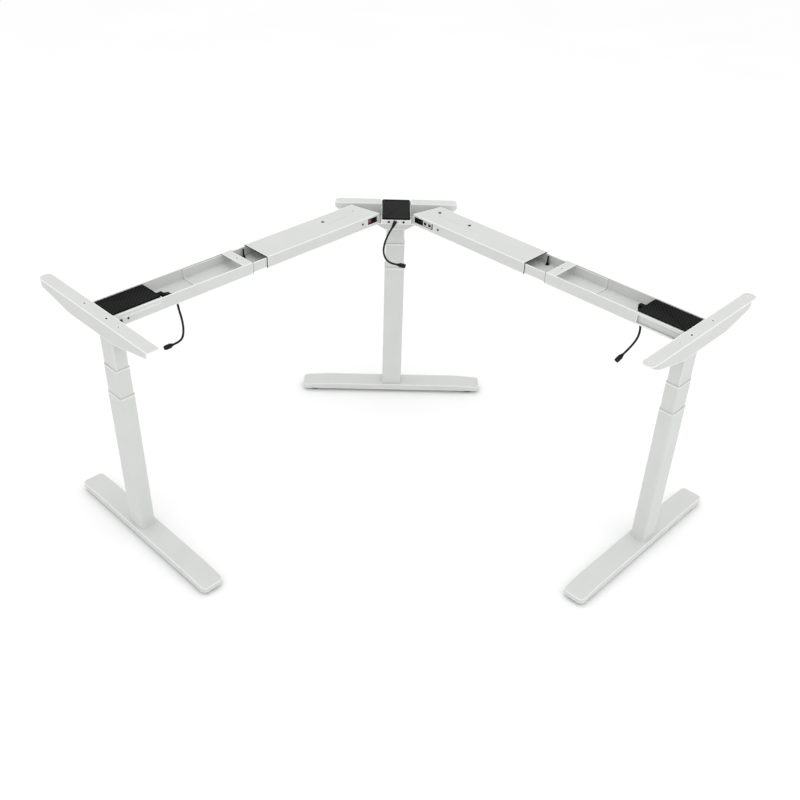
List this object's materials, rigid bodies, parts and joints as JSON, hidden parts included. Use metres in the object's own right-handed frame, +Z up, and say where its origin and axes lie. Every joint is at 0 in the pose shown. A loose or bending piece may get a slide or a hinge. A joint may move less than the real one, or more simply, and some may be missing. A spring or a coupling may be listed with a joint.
{
  "type": "corner standing desk frame",
  "caption": "Height adjustable L-shaped desk frame with telescopic arms, lifting columns, flat feet and top brackets, without a desktop.",
  "frame": {"origin": "centre of the footprint's bounding box, on the floor", "axes": "+X along the right arm away from the corner, -Y along the left arm away from the corner, +Z up"},
  "size_m": [1.551, 1.524, 0.783],
  "materials": {
    "white_powder_coat": "satin, fine texture",
    "cover_plastic": "matt, spark-eroded",
    "box_plastic": "matt",
    "glide_plastic": "matt",
    "plug_plastic": "semi-gloss",
    "rocker_plastic": "moulded, red",
    "pad_rubber": "matt",
    "cord_rubber": "satin",
    "black_screw_steel": "black oxide",
    "spindle_steel": "rolled, oiled",
    "motor_steel": "zinc plated"
  },
  "bodies": {
    "corner_base": {"corner_foot": "white_powder_coat", "corner_foot_screws": "black_screw_steel", "corner_outer_tube": "white_powder_coat", "corner_outer_glide": "glide_plastic"},
    "corner_pad_front": {"corner_pad_front": "pad_rubber"},
    "corner_pad_rear": {"corner_pad_rear": "pad_rubber"},
    "corner_middle": {"corner_middle_tube": "white_powder_coat", "corner_middle_glide": "glide_plastic"},
    "top_frame": {"corner_inner_tube": "white_powder_coat", "corner_bracket": "white_powder_coat", "corner_motor_housing": "white_powder_coat", "corner_motor_cover": "cover_plastic", "corner_gear_motor": "motor_steel", "corner_motor_cord": "cord_rubber", "corner_cord_plug": "plug_plastic", "corner_housing_screws": "black_screw_steel", "left_apex_beam": "white_powder_coat", "right_apex_beam": "white_powder_coat", "control_box": "box_plastic", "power_inlet": "box_plastic"},
    "corner_spindle": {"corner_spindle": "spindle_steel"},
    "power_rocker": {"power_rocker": "rocker_plastic"},
    "left_rail": {"left_rail": "white_powder_coat", "left_rail_bolt": "black_screw_steel"},
    "left_end": {"left_end_beam": "white_powder_coat", "left_bracket": "white_powder_coat", "left_motor_housing": "white_powder_coat", "left_motor_cover": "cover_plastic", "left_gear_motor": "motor_steel", "left_inner_tube": "white_powder_coat", "left_motor_cord": "cord_rubber", "left_cord_plug": "plug_plastic"},
    "left_middle": {"left_middle_tube": "white_powder_coat", "left_middle_glide": "glide_plastic"},
    "left_base": {"left_foot": "white_powder_coat", "left_foot_screws": "black_screw_steel", "left_outer_tube": "white_powder_coat", "left_outer_glide": "glide_plastic"},
    "left_spindle": {"left_spindle": "spindle_steel"},
    "left_pad_front": {"left_pad_front": "pad_rubber"},
    "left_pad_rear": {"left_pad_rear": "pad_rubber"},
    "right_rail": {"right_rail": "white_powder_coat", "right_rail_bolt": "black_screw_steel"},
    "right_end": {"right_end_beam": "white_powder_coat", "right_bracket": "white_powder_coat", "right_motor_housing": "white_powder_coat", "right_motor_cover": "cover_plastic", "right_gear_motor": "motor_steel", "right_inner_tube": "white_powder_coat", "right_motor_cord": "cord_rubber", "right_cord_plug": "plug_plastic"},
    "right_middle": {"right_middle_tube": "white_powder_coat", "right_middle_glide": "glide_plastic"},
    "right_base": {"right_foot": "white_powder_coat", "right_foot_screws": "black_screw_steel", "right_outer_tube": "white_powder_coat", "right_outer_glide": "glide_plastic"},
    "right_spindle": {"right_spindle": "spindle_steel"},
    "right_pad_front": {"right_pad_front": "pad_rubber"},
    "right_pad_rear": {"right_pad_rear": "pad_rubber"}
  },
  "joints": [
    {"name": "lift", "type": "slide", "parent": "corner_base", "child": "corner_middle", "axis": [0, 0, 1], "range_m": [-0.095, 0.23]},
    {"name": "corner_inner_slide", "type": "slide", "parent": "corner_middle", "child": "top_frame", "axis": [0, 0, 1], "range_m": [-0.095, 0.23]},
    {"name": "corner_spindle_turn", "type": "hinge", "parent": "top_frame", "child": "corner_spindle", "pos_m": [-0.44732, 0.43382, 0.6], "axis": [0, 0, 1], "range_deg": [-2140, 5180]},
    {"name": "power_rocker_tilt", "type": "hinge", "parent": "top_frame", "child": "power_rocker", "pos_m": [-0.4332, 0.2895, 0.761], "axis": [0, -1, 0], "range_deg": [-7, 7]},
    {"name": "corner_pad_front_level", "type": "slide", "parent": "corner_base", "child": "corner_pad_front", "axis": [0, 0, 1], "range_m": [-0.01, 0.003]},
    {"name": "corner_pad_rear_level", "type": "slide", "parent": "corner_base", "child": "corner_pad_rear", "axis": [0, 0, 1], "range_m": [-0.01, 0.003]},
    {"name": "left_rail_slide", "type": "slide", "parent": "top_frame", "child": "left_rail", "axis": [0, -1, 0], "range_m": [-0.025, 0.1]},
    {"name": "left_end_slide", "type": "slide", "parent": "left_rail", "child": "left_end", "axis": [0, -1, 0], "range_m": [-0.03, 0.1]},
    {"name": "left_middle_slide", "type": "slide", "parent": "left_end", "child": "left_middle", "axis": [0, 0, 1], "range_m": [-0.23, 0.095]},
    {"name": "left_outer_slide", "type": "slide", "parent": "left_middle", "child": "left_base", "axis": [0, 0, 1], "range_m": [-0.23, 0.095]},
    {"name": "left_spindle_turn", "type": "hinge", "parent": "left_end", "child": "left_spindle", "pos_m": [-0.4165, -0.725, 0.6], "axis": [0, 0, 1], "range_deg": [-2140, 5180]},
    {"name": "left_pad_front_level", "type": "slide", "parent": "left_base", "child": "left_pad_front", "axis": [0, 0, 1], "range_m": [-0.01, 0.003]},
    {"name": "left_pad_rear_level", "type": "slide", "parent": "left_base", "child": "left_pad_rear", "axis": [0, 0, 1], "range_m": [-0.01, 0.003]},
    {"name": "right_rail_slide", "type": "slide", "parent": "top_frame", "child": "right_rail", "axis": [1, 0, 0], "range_m": [-0.04, 0.1]},
    {"name": "right_end_slide", "type": "slide", "parent": "right_rail", "child": "right_end", "axis": [1, 0, 0], "range_m": [-0.04, 0.08]},
    {"name": "right_middle_slide", "type": "slide", "parent": "right_end", "child": "right_middle", "axis": [0, 0, 1], "range_m": [-0.23, 0.095]},
    {"name": "right_outer_slide", "type": "slide", "parent": "right_middle", "child": "right_base", "axis": [0, 0, 1], "range_m": [-0.23, 0.095]},
    {"name": "right_spindle_turn", "type": "hinge", "parent": "right_end", "child": "right_spindle", "pos_m": [0.7385, 0.403, 0.6], "axis": [0, 0, 1], "range_deg": [-2140, 5180]},
    {"name": "right_pad_front_level", "type": "slide", "parent": "right_base", "child": "right_pad_front", "axis": [0, 0, 1], "range_m": [-0.01, 0.003]},
    {"name": "right_pad_rear_level", "type": "slide", "parent": "right_base", "child": "right_pad_rear", "axis": [0, 0, 1], "range_m": [-0.01, 0.003]}
  ],
  "couplings": [
    {"joint": "corner_inner_slide", "follows": "lift", "ratio": 1},
    {"joint": "corner_spindle_turn", "follows": "lift", "rad_per_m": 392.7},
    {"joint": "left_middle_slide", "follows": "lift", "ratio": -1},
    {"joint": "left_outer_slide", "follows": "lift", "ratio": -1},
    {"joint": "left_spindle_turn", "follows": "lift", "rad_per_m": 392.7},
    {"joint": "right_middle_slide", "follows": "lift", "ratio": -1},
    {"joint": "right_outer_slide", "follows": "lift", "ratio": -1},
    {"joint": "right_spindle_turn", "follows": "lift", "rad_per_m": 392.7}
  ]
}
